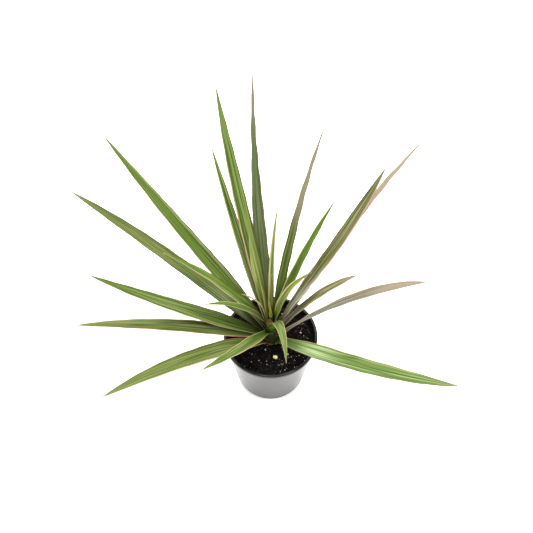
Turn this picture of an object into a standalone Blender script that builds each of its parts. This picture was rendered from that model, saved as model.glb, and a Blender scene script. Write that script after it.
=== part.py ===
"""A young dracaena in its round nursery pot.

The plant stands on the pot's axis, +Z up. The origin is the middle of the pot's
underside and the front of the plant faces -Y. Lengths are in metres: a size in
millimetres is multiplied by MM.
"""
import math
import random
from collections import namedtuple

import bmesh
import bpy
import numpy as np
from mathutils import Euler, Vector

MM = 0.001
GAP = 0.3 * MM

# Pot: a tapered plastic pot with a rolled lip and a foot ring
RIM_RADIUS = 52.5 * MM
POT_HEIGHT = 80 * MM
BASE_RADIUS = 39 * MM
POT_WALL = 1.2 * MM
LIP_HEIGHT = 4.6 * MM
LIP_DEPTH = 2.2 * MM
LIP_BEAD = 1.1 * MM
FOOT_HEIGHT = 3 * MM
FOOT_STEP = 1 * MM
FOOT_WIDTH = 4 * MM
PAD_RADIUS = 13 * MM
FLOOR_RAISE = 2.4 * MM
DRAIN_COUNT = 8
DRAIN_RADIUS = 3.6 * MM
DRAIN_CIRCLE = 24 * MM
POT_SIDES = 56

# Soil: fills the pot to just under the lip, with lumps and crumbs on top
SOIL_LEVEL = 70 * MM
SOIL_RINGS = 7
SOIL_SIDES = 40
SOIL_LUMP = 1.3 * MM
CRUMB_COUNT = 56
CRUMB_SIZES = (0.9 * MM, 2.1 * MM)
CRUMB_ROUGHNESS = (0.8, 1.15)
CRUMB_EDGE = 4.5 * MM
GRAIN_PLACE = (4.5 * MM, -19.5 * MM)
GRAIN_SIZE = 3.0 * MM
SOIL_SEED = 11

# Stem: a short cane, ringed by old leaf scars, that tapers into the crown
STEM_RADIUS = 6.4 * MM
STEM_TOP_RADIUS = 2.6 * MM
STEM_HEIGHT = 50 * MM
STEM_ROOT = 26 * MM
STEM_SIDES = 24
SCAR_STEP = 4 * MM
SCAR_DEPTH = 0.35 * MM

# Spear: the youngest leaves, still rolled round each other above the stem
SPEAR_RADIUS = 2.2 * MM
SPEAR_HEIGHT = 27 * MM
SPEAR_LEAN = 5
SPEAR_AZIMUTH = 130
SPEAR_SIDES = 12

# Leaf blades: a flat strip bent into a channel that hugs the stem, then opens
BLADE_THICKNESS = 0.7 * MM
BLADE_ALONG = 16
BLADE_ACROSS = 4
PATH_STEPS = 240
CLASP_ANGLE = 86
CLASP_LENGTH = 4.5 * MM
CHANNEL_LENGTH = 0.14
CHANNEL_RADIUS = 26 * MM
NECK_WIDTH = 0.5
WIDEN_END = 0.30
TIP_WIDTH = 0.8 * MM

# Each leaf, the oldest first. Seat is the height of its base above the soil,
# azimuth its heading seen from above (0 is +X, 90 is the back) and sway what that
# turns by the tip. Rise is the angle above level and droop what it loses by the
# tip. Lean and twist turn the blade about its own length, lean near the base and
# twist on the way out. A larger taper keeps the blade broad for longer. Seats,
# lengths and widths are in millimetres and angles in degrees.
Leaf = namedtuple("Leaf", "seat azimuth length width rise droop sway lean twist taper")
LEAVES = {
    "leaf_01": Leaf(2, 219, 231, 20, 39, 31, -2, -10, 0, 3.0),
    "leaf_02": Leaf(5, 319, 234, 20, 31, 18, 24, 0, 0, 4.0),
    "leaf_03": Leaf(4, 103, 303, 17, 66, 22, -16, 0, 60, 3.4),
    "leaf_04": Leaf(7, 192, 221, 17, 32, 20, 0, -6, 0, 3.2),
    "leaf_05": Leaf(2, 8, 190, 11, 45, 52, 0, -35, 55, 6.0),
    "leaf_06": Leaf(10, 184, 237, 17.5, 35, -18, 14, -15, 0, 2.6),
    "leaf_07": Leaf(11, 5, 147, 10, 64, 23, -15, -12, 30, 6.0),
    "leaf_08": Leaf(14, 170, 281, 17, 51, 11, -1, -10, 0, 3.6),
    "leaf_09": Leaf(15, 25, 292, 14, 62, 9, -4, 0, -20, 4.0),
    "leaf_10": Leaf(20, 152, 289, 20, 49, -8, 4, -4, 0, 2.4),
    "leaf_11": Leaf(21, 16, 252, 14, 63, -3, 12, -20, 58, 4.2),
    "leaf_12": Leaf(24, 126, 227, 12, 63, -1, -5, 0, 0, 2.8),
    "leaf_13": Leaf(22, 238, 140, 14, 37, 7, -10, 0, 0, 2.4),
    "leaf_14": Leaf(25, 62, 254, 11, 73, 16, -6, 0, -35, 4.0),
    "leaf_15": Leaf(27, 177, 167, 14, 64, 35, -4, -12, 0, 1.9),
    "leaf_16": Leaf(31, 119, 298, 16, 67, -14, 12, 0, 0, 3.2),
    "leaf_17": Leaf(34, 195, 108, 10, 66, 51, 9, 0, 0, 2.4),
    "leaf_18": Leaf(34, 33, 180, 12, 73, 18, 2, 0, 0, 2.6),
    "leaf_19": Leaf(34, 287, 113, 12, 70, 87, -15, 0, 0, 2.4),
    "leaf_20": Leaf(37, 140, 139, 10, 75, -11, -7, 0, 0, 2.4),
    "leaf_21": Leaf(38, 352, 111, 10, 85, 38, 3, 35, 0, 2.6),
    "leaf_22": Leaf(40, 196, 75, 6, 84, 42, 3, 0, 0, 2.4),
    "leaf_23": Leaf(42, 90, 162, 7, 85, 21, -23, 0, 0, 2.4),
    "leaf_24": Leaf(44, 146, 68, 7, 84, 8, 0, 0, 0, 2.4),
    "leaf_25": Leaf(48, 90, 72, 7, 88, 1, 0, 0, 0, 2.4),
}
OLD_LEAVES = 9
MATURE_LEAVES = 16

# Colours and finishes, as (red, green, blue), roughness
POT_FINISH = ((0.012, 0.012, 0.013), 0.32)
SOIL_FINISH = ((0.012, 0.009, 0.007), 0.95)
STEM_FINISH = ((0.21, 0.16, 0.08), 0.75)
SPEAR_FINISH = ((0.24, 0.32, 0.05), 0.42)
OLD_FINISH = ((0.12, 0.17, 0.07), 0.45)
MATURE_FINISH = ((0.07, 0.19, 0.03), 0.40)
YOUNG_FINISH = ((0.17, 0.30, 0.05), 0.38)


def clear_scene():
    for item in list(bpy.data.objects):
        bpy.data.objects.remove(item, do_unlink=True)


def new_collection(name):
    collection = bpy.data.collections.new(name)
    bpy.context.scene.collection.children.link(collection)
    return collection


def new_material(name, finish):
    colour, roughness = finish
    material = bpy.data.materials.new(name)
    material.use_nodes = True
    shader = material.node_tree.nodes["Principled BSDF"]
    shader.inputs["Base Color"].default_value = (*colour, 1)
    shader.inputs["Roughness"].default_value = roughness
    shader.inputs["Metallic"].default_value = 0
    material.diffuse_color = (*colour, 1)
    return material


def add_object(name, mesh, collection, material=None):
    item = bpy.data.objects.new(name, mesh)
    collection.objects.link(item)
    if material:
        mesh.materials.append(material)
    return item


def turned(name, profile, sides, collection, material=None):
    """Spin a profile of (radius, height) points about Z with a Screw modifier."""
    mesh = bpy.data.meshes.new(name)
    edges = [(i, i + 1) for i in range(len(profile) - 1)]
    mesh.from_pydata([(r, 0, z) for r, z in profile], edges, [])
    item = add_object(name, mesh, collection, material)
    screw = item.modifiers.new("Spin", "SCREW")
    screw.steps = screw.render_steps = sides
    screw.use_merge_vertices = True
    screw.merge_threshold = 0.02 * MM
    return item


def evaluated_mesh(item):
    graph = bpy.context.evaluated_depsgraph_get()
    return bpy.data.meshes.new_from_object(item.evaluated_get(graph))


def arc(centre, radius, start, end, count):
    """Points on an arc of a profile, from one angle in degrees to another."""
    angles = [math.radians(start + (end - start) * i / count) for i in range(count + 1)]
    return [(centre[0] + radius * math.cos(a), centre[1] + radius * math.sin(a)) for a in angles]


def wall_radius(height):
    """Outer radius of the tapered wall, from the foot step to under the lip."""
    low, high = FOOT_HEIGHT, POT_HEIGHT - LIP_HEIGHT
    share = (height - low) / (high - low)
    return BASE_RADIUS + share * (RIM_RADIUS - LIP_DEPTH - BASE_RADIUS)


def pot_profile():
    """The pot's wall in section: up the inside, over the lip and down the outside."""
    under_lip = POT_HEIGHT - LIP_HEIGHT
    foot_outer = BASE_RADIUS - FOOT_STEP
    foot_inner = foot_outer - FOOT_WIDTH
    ramp = FLOOR_RAISE
    inside = [
        (0, POT_WALL),
        (PAD_RADIUS - POT_WALL / 2, POT_WALL),
        (PAD_RADIUS + ramp - POT_WALL / 2, FLOOR_RAISE + POT_WALL),
        (foot_inner - ramp + POT_WALL / 2, FLOOR_RAISE + POT_WALL),
        (foot_inner + POT_WALL / 2, POT_WALL),
        (foot_outer - POT_WALL, POT_WALL),
        (wall_radius(FOOT_HEIGHT) - POT_WALL, FOOT_HEIGHT + FOOT_STEP),
        (wall_radius(under_lip) - POT_WALL, under_lip),
    ]
    bead_low = POT_HEIGHT - LIP_BEAD
    inner_bead = (RIM_RADIUS - LIP_DEPTH - POT_WALL + LIP_BEAD, bead_low)
    outer_bead = (RIM_RADIUS - LIP_BEAD, bead_low)
    lip = (
        arc(inner_bead, LIP_BEAD, 180, 90, 3)
        + arc(outer_bead, LIP_BEAD, 90, 0, 3)
        + [(RIM_RADIUS - 0.2 * MM, under_lip + 0.6 * MM), (RIM_RADIUS - 0.8 * MM, under_lip)]
    )
    outside = [
        (wall_radius(under_lip), under_lip),
        (BASE_RADIUS, FOOT_HEIGHT),
        (foot_outer, FOOT_HEIGHT - FOOT_STEP / 2),
        (foot_outer, 0.5 * MM),
        (foot_outer - 0.5 * MM, 0),
        (foot_inner, 0),
        (foot_inner - ramp, FLOOR_RAISE),
        (PAD_RADIUS + ramp, FLOOR_RAISE),
        (PAD_RADIUS, 0),
        (0, 0),
    ]
    return inside + lip + outside


def make_pot(parts, cutters):
    material = new_material("pot_plastic", POT_FINISH)
    pot = turned("pot", pot_profile(), POT_SIDES, parts, material)
    for index in range(DRAIN_COUNT):
        angle = math.tau * (index + 0.5) / DRAIN_COUNT
        bpy.ops.mesh.primitive_cylinder_add(vertices=12, radius=DRAIN_RADIUS, depth=20 * MM)
        cutter = bpy.context.object
        cutter.name = f"drain_cutter_{index + 1}"
        cutter.location = (DRAIN_CIRCLE * math.cos(angle), DRAIN_CIRCLE * math.sin(angle), 0)
        cutter.hide_render = True
        cutter.display_type = "WIRE"
        for owner in list(cutter.users_collection):
            owner.objects.unlink(cutter)
        cutters.objects.link(cutter)
        hole = pot.modifiers.new(f"Drain {index + 1}", "BOOLEAN")
        hole.operation = "DIFFERENCE"
        hole.object = cutter
    return pot


def soil_profile():
    """The soil in section: up the stem's hole, across the top and down the wall."""
    hole = STEM_RADIUS + GAP
    floor = FLOOR_RAISE + POT_WALL + GAP
    edge = wall_radius(SOIL_LEVEL) - POT_WALL - GAP
    hole_floor = SOIL_LEVEL - STEM_ROOT - GAP
    profile = [(0, hole_floor), (hole, hole_floor)]
    for ring in range(SOIL_RINGS + 1):
        profile.append((hole + (edge - hole) * ring / SOIL_RINGS, SOIL_LEVEL))
    low_edge = wall_radius(floor + FOOT_STEP) - POT_WALL - FOOT_STEP - GAP
    return profile + [(low_edge, floor), (0, floor)]


def soil_rise(x, y):
    """Height of the lumps at a place on the soil, none at the stem and the wall."""
    hole = STEM_RADIUS + GAP
    edge = wall_radius(SOIL_LEVEL) - POT_WALL - GAP
    share = np.clip((np.hypot(x, y) - hole) / (edge - hole), 0, 1)
    waves = (
        np.sin(x * 190 + 1.0) * np.cos(y * 150)
        + 0.7 * np.sin(x * 310 - y * 270)
        + 0.5 * np.cos(x * 120 + y * 420 + 2.0)
    )
    return SOIL_LUMP * np.sin(math.pi * share) ** 0.6 * waves / 2.2


def crumb(name, place, size, draw, cutters):
    """One rough crumb, its lower part sunk well into the soil."""
    bm = bmesh.new()
    bmesh.ops.create_icosphere(bm, subdivisions=1, radius=size)
    for vertex in bm.verts:
        vertex.co *= draw.uniform(*CRUMB_ROUGHNESS)
    turn = Euler([draw.uniform(0, math.tau) for _ in range(3)]).to_matrix().to_4x4()
    bmesh.ops.transform(bm, matrix=turn, verts=bm.verts)
    height = SOIL_LEVEL + float(soil_rise(*place)) + size * 0.15
    bmesh.ops.translate(bm, vec=Vector((*place, height)), verts=bm.verts)
    mesh = bpy.data.meshes.new(name)
    bm.to_mesh(mesh)
    bm.free()
    return add_object(name, mesh, cutters)


def make_soil(parts, scratch):
    base = turned("soil_base", soil_profile(), SOIL_SIDES, scratch)
    mesh = evaluated_mesh(base)
    bpy.data.objects.remove(base, do_unlink=True)
    places = np.empty(len(mesh.vertices) * 3)
    mesh.vertices.foreach_get("co", places)
    places = places.reshape(-1, 3)
    top = np.abs(places[:, 2] - SOIL_LEVEL) < 0.01 * MM
    places[top, 2] += soil_rise(places[top, 0], places[top, 1])
    mesh.vertices.foreach_set("co", places.ravel())
    soil = add_object("soil", mesh, parts, new_material("potting_soil", SOIL_FINISH))

    draw = random.Random(SOIL_SEED)
    crumbs = bpy.data.collections.new("soil_crumbs")
    inner = STEM_RADIUS + CRUMB_EDGE
    outer = wall_radius(SOIL_LEVEL) - CRUMB_EDGE
    for index in range(CRUMB_COUNT):
        radius = math.sqrt(draw.uniform(inner**2, outer**2))
        angle = draw.uniform(0, math.tau)
        place = (radius * math.cos(angle), radius * math.sin(angle))
        crumb(f"crumb_{index}", place, draw.uniform(*CRUMB_SIZES), draw, crumbs)
    crumb("crumb_grain", GRAIN_PLACE, GRAIN_SIZE, draw, crumbs)
    join = soil.modifiers.new("Crumbs", "BOOLEAN")
    join.operation = "UNION"
    join.operand_type = "COLLECTION"
    join.collection = crumbs
    join.solver = "MANIFOLD"
    joined = evaluated_mesh(soil)
    soil.modifiers.clear()
    soil.data = joined
    for item in list(crumbs.objects):
        bpy.data.objects.remove(item, do_unlink=True)
    bpy.data.collections.remove(crumbs)
    return soil


def stem_radius(height):
    """Radius of the stem at a height above the soil, without its scars."""
    share = min(max(height / STEM_HEIGHT, 0), 1)
    return STEM_RADIUS - (STEM_RADIUS - STEM_TOP_RADIUS) * share**1.2


def stem_profile():
    """The stem in section from its top down, with a groove under each leaf scar."""
    profile = [(0, SOIL_LEVEL + STEM_HEIGHT)]
    scars = int(STEM_HEIGHT / SCAR_STEP)
    for index in range(scars, 0, -1):
        height = index * SCAR_STEP
        profile.append((stem_radius(height), SOIL_LEVEL + height))
        low = height - SCAR_STEP / 4
        profile.append((stem_radius(low) - SCAR_DEPTH, SOIL_LEVEL + low))
    profile.append((stem_radius(0), SOIL_LEVEL + SCAR_STEP / 2))
    profile.append((STEM_RADIUS, SOIL_LEVEL - STEM_ROOT * 0.8))
    profile.append((STEM_RADIUS * 0.7, SOIL_LEVEL - STEM_ROOT))
    profile.append((0, SOIL_LEVEL - STEM_ROOT))
    return profile


def make_stem(parts):
    return turned("stem", stem_profile(), STEM_SIDES, parts, new_material("cane", STEM_FINISH))


def make_spear(parts):
    """A slim spindle of rolled young leaves that stands on the stem's top."""
    steps = 7
    profile = [(0, SPEAR_HEIGHT)]
    for index in range(1, steps + 1):
        share = 1 - index / steps
        profile.append((SPEAR_RADIUS * (1 - share**1.3) ** 0.7, SPEAR_HEIGHT * share))
    profile.append((0, 0))
    spear = turned("spear", profile, SPEAR_SIDES, parts, new_material("spear", SPEAR_FINISH))
    lean = math.radians(SPEAR_LEAN)
    heading = math.radians(SPEAR_AZIMUTH)
    spear.rotation_euler = (-lean * math.sin(heading), lean * math.cos(heading), 0)
    seat = SOIL_LEVEL + STEM_HEIGHT + GAP + SPEAR_RADIUS * math.sin(lean)
    spear.location = (0, 0, seat)
    return spear


def smooth(low, high, value):
    share = np.clip((value - low) / (high - low), 0, 1)
    return share * share * (3 - 2 * share)


def leaf_path(leaf):
    """The leaf's middle line: its points, and the blade's across and up directions.

    The line leaves the stem nearly upright and relaxes to its rise within a few
    millimetres. From there it droops and sways with the square of the distance.
    """
    share = np.linspace(0, 1, PATH_STEPS + 1)
    length = leaf.length * MM
    rise = leaf.rise - leaf.droop * share**1.6
    clasp = np.exp(-share * length / CLASP_LENGTH)
    elevation = np.radians(rise + (CLASP_ANGLE - rise) * clasp)
    heading = np.radians(leaf.azimuth + leaf.sway * share**1.6)
    along = np.stack(
        [np.cos(elevation) * np.cos(heading), np.cos(elevation) * np.sin(heading), np.sin(elevation)], 1
    )
    start = stem_radius(leaf.seat * MM) + GAP + BLADE_THICKNESS / 2
    turn = math.radians(leaf.azimuth)
    foot = np.array([start * math.cos(turn), start * math.sin(turn), SOIL_LEVEL + leaf.seat * MM])
    steps = (along[1:] + along[:-1]) / 2 * length / PATH_STEPS
    points = foot + np.concatenate([np.zeros((1, 3)), np.cumsum(steps, axis=0)])

    side = np.stack([-np.sin(heading), np.cos(heading), np.zeros_like(heading)], 1)
    up = np.cross(along, side)
    roll = np.radians(leaf.lean * smooth(0, 0.2, share) + leaf.twist * smooth(0.15, 0.85, share))
    cos, sin = np.cos(roll)[:, None], np.sin(roll)[:, None]
    return share, points, cos * side + sin * up, cos * up - sin * side


def half_width(leaf, share):
    """Half the blade's width: a neck, the widest part at a third, a long point."""
    widen = NECK_WIDTH + (1 - NECK_WIDTH) * smooth(0.02, WIDEN_END, share)
    taper = np.clip(1 - share**leaf.taper, 0, 1) ** 0.9
    return np.maximum(leaf.width * MM / 2 * widen * taper, TIP_WIDTH / 2)


def channel_bend(leaf, share):
    """Curvature across the blade: the stem's own at the base, then nearly flat."""
    hug = 1 / (stem_radius(leaf.seat * MM) + GAP + BLADE_THICKNESS / 2)
    return 1 / CHANNEL_RADIUS + (hug - 1 / CHANNEL_RADIUS) * np.exp(-share / CHANNEL_LENGTH)


def bend_blade(leaf, across, share):
    """Places of the blade's points, from -1 to 1 across it and 0 to 1 along it."""
    knots, points, side, up = leaf_path(leaf)

    def at(values):
        return np.stack([np.interp(share, knots, values[:, i]) for i in range(3)], 1)

    bend = channel_bend(leaf, share)
    angle = across * half_width(leaf, share) * bend
    sideways = (np.sin(angle) / bend)[:, None]
    raised = ((1 - np.cos(angle)) / bend)[:, None]
    return at(points) + sideways * at(side) + raised * at(up)


def make_leaf(name, leaf, parts, material):
    """A grid bent to the blade's middle surface, given its thickness by Solidify."""
    bm = bmesh.new()
    bmesh.ops.create_grid(bm, x_segments=BLADE_ACROSS, y_segments=BLADE_ALONG, size=1)
    bmesh.ops.triangulate(bm, faces=bm.faces)
    mesh = bpy.data.meshes.new(name)
    bm.to_mesh(mesh)
    bm.free()
    flat = np.empty(len(mesh.vertices) * 3)
    mesh.vertices.foreach_get("co", flat)
    flat = flat.reshape(-1, 3)
    share = ((flat[:, 1] + 1) / 2) ** 1.5
    mesh.vertices.foreach_set("co", bend_blade(leaf, flat[:, 0], share).ravel())
    mesh.update()
    item = add_object(name, mesh, parts, material)
    thick = item.modifiers.new("Thickness", "SOLIDIFY")
    thick.thickness = BLADE_THICKNESS
    thick.offset = 0
    thick.use_even_offset = True
    return item


def make_leaves(parts):
    old = new_material("leaf_old", OLD_FINISH)
    mature = new_material("leaf_mature", MATURE_FINISH)
    young = new_material("leaf_young", YOUNG_FINISH)
    for index, (name, leaf) in enumerate(LEAVES.items()):
        material = old if index < OLD_LEAVES else mature if index < MATURE_LEAVES else young
        make_leaf(name, leaf, parts, material)


def main():
    clear_scene()
    parts = new_collection("potted_dracaena")
    cutters = new_collection("cutters")
    make_pot(parts, cutters)
    make_soil(parts, cutters)
    make_stem(parts)
    make_spear(parts)
    make_leaves(parts)


main()
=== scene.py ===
"""Looks of a young dracaena in its nursery pot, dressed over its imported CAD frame.

Places are in the frame of the CAD model: the plant stands on the pot's axis, +Z up, with
its front towards -Y. Lengths are in metres and angles in degrees, unless a docstring
says millimetres or radians.
"""

import logging
import math
from dataclasses import dataclass
from enum import Enum
from typing import Any, Optional

import bmesh
import bpy
import numpy as np
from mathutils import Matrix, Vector


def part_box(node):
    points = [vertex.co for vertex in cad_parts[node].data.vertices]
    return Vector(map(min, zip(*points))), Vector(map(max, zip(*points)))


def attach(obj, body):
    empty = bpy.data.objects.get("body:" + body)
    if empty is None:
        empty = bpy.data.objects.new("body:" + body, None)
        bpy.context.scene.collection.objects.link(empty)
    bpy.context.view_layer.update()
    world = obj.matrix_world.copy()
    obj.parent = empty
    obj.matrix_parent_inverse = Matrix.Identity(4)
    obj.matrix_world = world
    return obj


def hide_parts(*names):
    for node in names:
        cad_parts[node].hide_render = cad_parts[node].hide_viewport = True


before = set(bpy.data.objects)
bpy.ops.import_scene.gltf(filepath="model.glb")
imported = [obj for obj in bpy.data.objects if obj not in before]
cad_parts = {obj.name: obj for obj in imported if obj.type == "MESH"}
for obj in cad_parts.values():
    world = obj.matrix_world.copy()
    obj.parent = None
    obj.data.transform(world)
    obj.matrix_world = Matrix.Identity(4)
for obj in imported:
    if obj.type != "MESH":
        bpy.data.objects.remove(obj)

log = logging.getLogger("potted_dracaena")

MM = 0.001
BODY = "root"
ARC_STEP = 15
POLE_MERGE = 1e-6
GOLDEN_TURN = 0.382

Colour = tuple[float, float, float]
Range = tuple[float, float]
Faces = list[tuple[int, ...]]
Profile = list[tuple[float, float]]


# Numbers and colours inside a material


class Channel:
    """A number that varies over a surface, with its sums written as Python.

    Args:
        graph: The material graph that holds the number.
        socket: The node output that carries it.
    """

    def __init__(self, graph: "Graph", socket: bpy.types.NodeSocket) -> None:
        """Keeps the graph and the socket."""
        self.graph = graph
        self.socket = socket

    def _sum(self, operation: str, first: Any, second: Any) -> "Channel":
        """Adds one Math node and returns its result."""
        return self.graph.number("ShaderNodeMath", {0: first, 1: second}, operation=operation)

    def __add__(self, other: Any) -> "Channel":
        """Adds a number or another channel."""
        return self._sum("ADD", self, other)

    def __radd__(self, other: Any) -> "Channel":
        """Adds this channel to a number."""
        return self._sum("ADD", other, self)

    def __sub__(self, other: Any) -> "Channel":
        """Takes a number or another channel away."""
        return self._sum("SUBTRACT", self, other)

    def __rsub__(self, other: Any) -> "Channel":
        """Takes this channel away from a number."""
        return self._sum("SUBTRACT", other, self)

    def __mul__(self, other: Any) -> "Channel":
        """Multiplies by a number or another channel."""
        return self._sum("MULTIPLY", self, other)

    def over(self, limit: float) -> "Channel":
        """1 where the number is over the limit, and 0 elsewhere."""
        return self._sum("GREATER_THAN", self, limit)

    def folded(self) -> "Channel":
        """Folds the number back at 1, so that 0 to 2 runs up to 1 and down again."""
        return self._sum("PINGPONG", self, 1.0)

    def rise(self, low: float, high: float) -> "Channel":
        """A smooth step from 0 at low to 1 at high; with low over high it falls."""
        ends = {1: low, 2: high, 3: 0.0, 4: 1.0} if low < high else {1: high, 2: low, 3: 1.0, 4: 0.0}
        return self.graph.number("ShaderNodeMapRange", {0: self} | ends, interpolation_type="SMOOTHSTEP")


class Graph:
    """The node graph of one material, built round its Principled shader.

    Args:
        name: The material's name.
        fixed: Values set straight on the shader's own sockets.
    """

    def __init__(self, name: str, fixed: dict[str, Any]) -> None:
        """Makes the material and sets the fixed values."""
        self.material = bpy.data.materials.new(name)
        self.material.use_nodes = True
        self.tree = self.material.node_tree
        self.shader = self.tree.nodes["Principled BSDF"]
        for socket, value in fixed.items():
            self.shader.inputs[socket].default_value = value

    def node(self, kind: str, inputs: Optional[dict[Any, Any]] = None, **settings: Any) -> bpy.types.Node:
        """Adds a node, sets it up and fills or links its sockets.

        Args:
            kind: The node's type.
            inputs: A value, a channel or an output socket for each input.
            settings: The node's properties.

        Returns:
            The new node.
        """
        node = self.tree.nodes.new(kind)
        for key, value in settings.items():
            setattr(node, key, value)
        for key, value in (inputs or {}).items():
            if isinstance(value, Channel):
                value = value.socket
            if isinstance(value, bpy.types.NodeSocket):
                self.tree.links.new(value, node.inputs[key])
            else:
                node.inputs[key].default_value = value
        return node

    def number(self, kind: str, inputs: dict[Any, Any], **settings: Any) -> Channel:
        """Adds a node and returns its first result."""
        return Channel(self, self.node(kind, inputs, **settings).outputs[0])

    def place(self) -> bpy.types.NodeSocket:
        """The place on the object, in metres."""
        return self.node("ShaderNodeTexCoord").outputs["Object"]

    def height(self) -> Channel:
        """The height over the table, in metres."""
        return Channel(self, self.node("ShaderNodeSeparateXYZ", {0: self.place()}).outputs[2])

    def strip(self) -> tuple[Channel, Channel]:
        """The two numbers of the piece's own UV map, across and along it."""
        parts = self.node("ShaderNodeSeparateXYZ", {0: self.node("ShaderNodeTexCoord").outputs["UV"]})
        return Channel(self, parts.outputs[0]), Channel(self, parts.outputs[1])

    def point(self, x: Any, y: Any, z: Any) -> bpy.types.NodeSocket:
        """A place made from three numbers."""
        return self.node("ShaderNodeCombineXYZ", {0: x, 1: y, 2: z}).outputs[0]

    def noise(self, where: Any, scale: float, detail: float = 2.0, rough: float = 0.5) -> Channel:
        """Noise near a half: lumps to a unit of the place, octaves of detail, their strength."""
        inputs = {"Vector": where, "Scale": scale, "Detail": detail, "Roughness": rough}
        return self.number("ShaderNodeTexNoise", inputs, noise_dimensions="3D")

    def rings(self, scale: float, detail: float) -> Channel:
        """Noise that varies with the height alone, as rings round an upright piece."""
        return self.noise(self.point(0.0, 0.0, self.height()), scale, detail)

    def strands(
        self, across: float, along: float, seed: float = 0.0, detail: float = 2.0, rough: float = 0.5
    ) -> Channel:
        """The same noise on a blade's two faces: its lumps over the width and the length."""
        side, length = self.strip()
        return self.noise(self.point(side.folded() * across, length * along, seed), 1.0, detail, rough)

    def mix(self, share: Any, first: Any, second: Any) -> bpy.types.NodeSocket:
        """Blends two colours, numbers or sockets, by a share of the second from 0 to 1."""
        tints = [c if isinstance(c, bpy.types.NodeSocket) else (*c, 1.0) for c in (first, second)]
        return self.node("ShaderNodeMix", {0: share, 6: tints[0], 7: tints[1]}, data_type="RGBA").outputs[2]

    def finish(
        self, colour: Any, height: Channel, depth: float, roughness: Optional[Channel] = None
    ) -> bpy.types.Material:
        """Links the results to the shader.

        Args:
            colour: The base colour's socket.
            height: Relief for the bump, from 0 to 1.
            depth: The relief's full height in metres.
            roughness: The roughness, where it varies.

        Returns:
            The finished material.
        """
        bump = self.node("ShaderNodeBump", {"Strength": 1.0, "Distance": depth, "Height": height})
        self.tree.links.new(bump.outputs[0], self.shader.inputs["Normal"])
        self.tree.links.new(colour, self.shader.inputs["Base Color"])
        if roughness:
            self.tree.links.new(roughness.socket, self.shader.inputs["Roughness"])
        return self.material


# Meshes


def smooth(low: float, high: float, value: np.ndarray) -> np.ndarray:
    """A smooth step, 3s^2 - 2s^3 of the share s of the way from low to high."""
    share = np.clip((value - low) / (high - low), 0, 1)
    return share * share * (3 - 2 * share)


def turned(first: np.ndarray, second: np.ndarray, angle: np.ndarray) -> tuple[np.ndarray, np.ndarray]:
    """Turns pairs of coordinates round the origin by angles in radians."""
    cos, sin = np.cos(angle), np.sin(angle)
    return first * cos - second * sin, first * sin + second * cos


def circles(radius: np.ndarray, sides: int) -> tuple[np.ndarray, np.ndarray]:
    """The x and y of (r cos a, r sin a), a row for each radius r, over all angles a."""
    angle = np.linspace(0, math.tau, sides, endpoint=False)
    return np.outer(radius, np.cos(angle)), np.outer(radius, np.sin(angle))


def new_piece(name: str, points: np.ndarray, faces: Faces) -> bpy.types.Object:
    """Makes a smooth-shaded piece that rides on the plant's body.

    Args:
        name: The piece's name.
        points: Its points, one a row, where they lie in the frame.
        faces: Its faces.

    Returns:
        The new object, at the origin.
    """
    mesh = bpy.data.meshes.new(name)
    mesh.from_pydata(points.tolist(), [], faces)
    mesh.shade_smooth()
    piece = bpy.data.objects.new(name, mesh)
    bpy.context.scene.collection.objects.link(piece)
    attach(piece, BODY)
    return piece


def volume(points: np.ndarray, faces: Faces) -> float:
    """The volume inside a closed shell, which is below 0 if its faces look inwards.

    It is a sixth of the sum of the triple products of the fans of each face.

    Args:
        points: The shell's points, one a row.
        faces: Its faces, all turned the same way.

    Returns:
        The volume, in cubic metres.
    """
    fans = [(face[0], *pair) for face in faces for pair in zip(face[1:], face[2:])]
    first, second, third = points[np.array(fans)].transpose(1, 0, 2)
    return float(np.einsum("ij,ij->", first, np.cross(second, third))) / 6


def ring_faces(rings: int, sides: int) -> Faces:
    """Four-sided faces between closed rings of points.

    Args:
        rings: How many rings there are.
        sides: Points in a ring.

    Returns:
        The faces, as indices into the rings laid end to end.
    """
    ring = np.arange(rings - 1)[:, None] * sides
    side = np.arange(sides)[None, :]
    after = (side + 1) % sides
    quads = np.stack([ring + side, ring + after, ring + sides + after, ring + sides + side], -1)
    return [tuple(quad) for quad in quads.reshape(-1, 4).tolist()]


def ring_piece(name: str, rings: np.ndarray) -> bpy.types.Object:
    """Joins rings of points into a piece; the first and the last ring are a pole each.

    Args:
        name: The piece's name.
        rings: Points, a row for each ring.

    Returns:
        The closed piece, its doubled points merged and its faces turned outwards.
    """
    piece = new_piece(name, rings.reshape(-1, 3), ring_faces(*rings.shape[:2]))
    bm = bmesh.new()
    bm.from_mesh(piece.data)
    bmesh.ops.remove_doubles(bm, verts=bm.verts, dist=POLE_MERGE)
    bmesh.ops.recalc_face_normals(bm, faces=bm.faces)
    bm.to_mesh(piece.data)
    bm.free()
    return piece


def turned_piece(name: str, profile: Profile, sides: int) -> bpy.types.Object:
    """Spins a profile about Z: a point is (r cos a, r sin a, z) for every angle a."""
    radius, height = np.array(profile, float).T[..., None]
    return ring_piece(name, np.stack(np.broadcast_arrays(*circles(radius, sides), height), -1))


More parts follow.
